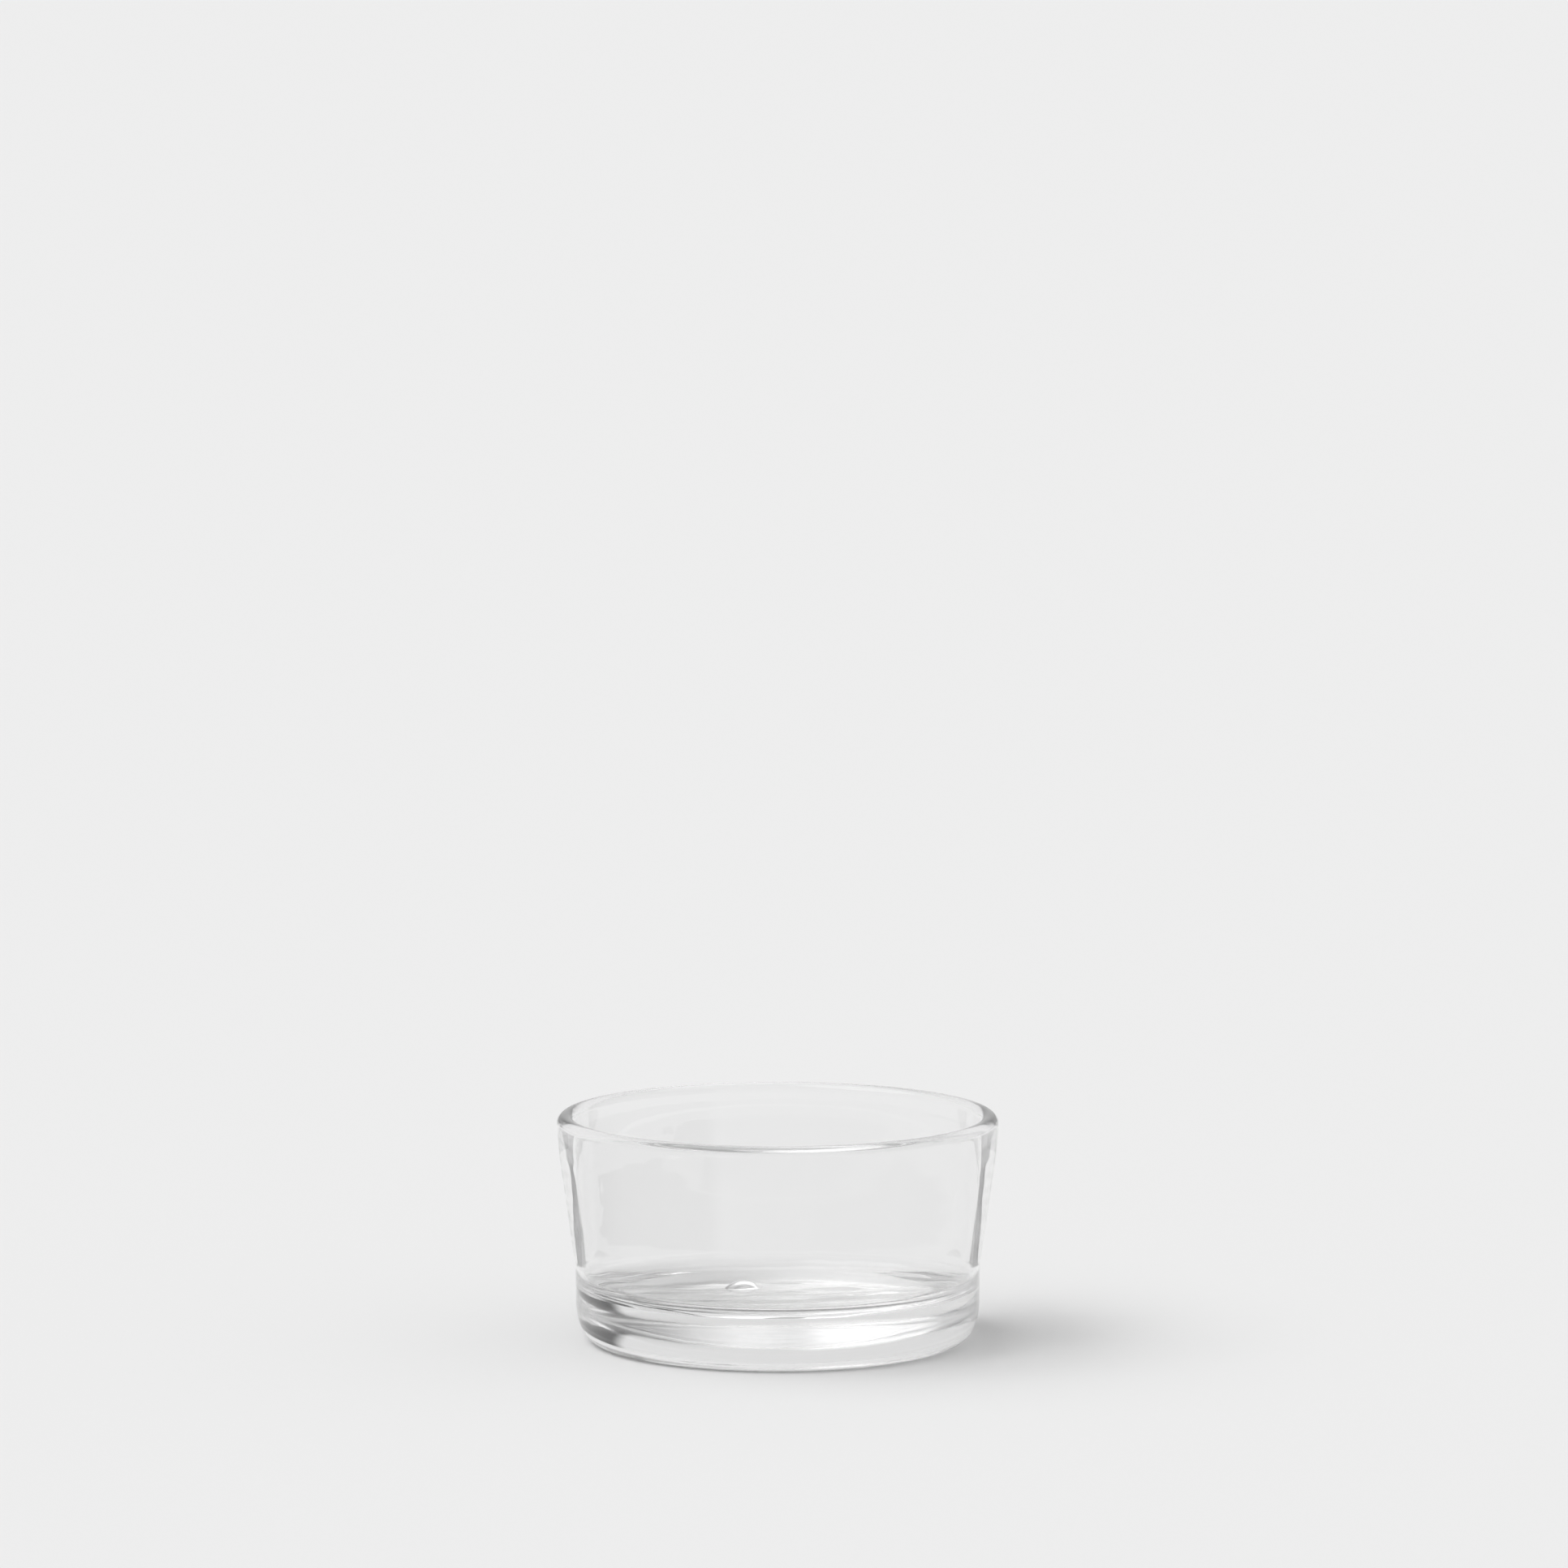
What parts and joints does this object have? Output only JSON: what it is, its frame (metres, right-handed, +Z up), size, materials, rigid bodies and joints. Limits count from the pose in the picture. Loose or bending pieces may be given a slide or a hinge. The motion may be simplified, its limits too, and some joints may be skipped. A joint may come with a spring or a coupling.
{
  "type": "tealight glass",
  "caption": "Clear pressed-glass tealight cup with a rounded rim, a tapered wall and a thick solid base that the candle stands on.",
  "frame": {"origin": "centre of the foot, on the plane it stands on", "axes": "+Z up along the glass's axis, out of its mouth; X and Y are alike because it is round"},
  "size_m": [0.055, 0.055, 0.0285],
  "materials": {
    "glass": "clear, smooth and fire-polished"
  },
  "bodies": {
    "root": {"glass_cup": "glass"}
  },
  "joints": []
}
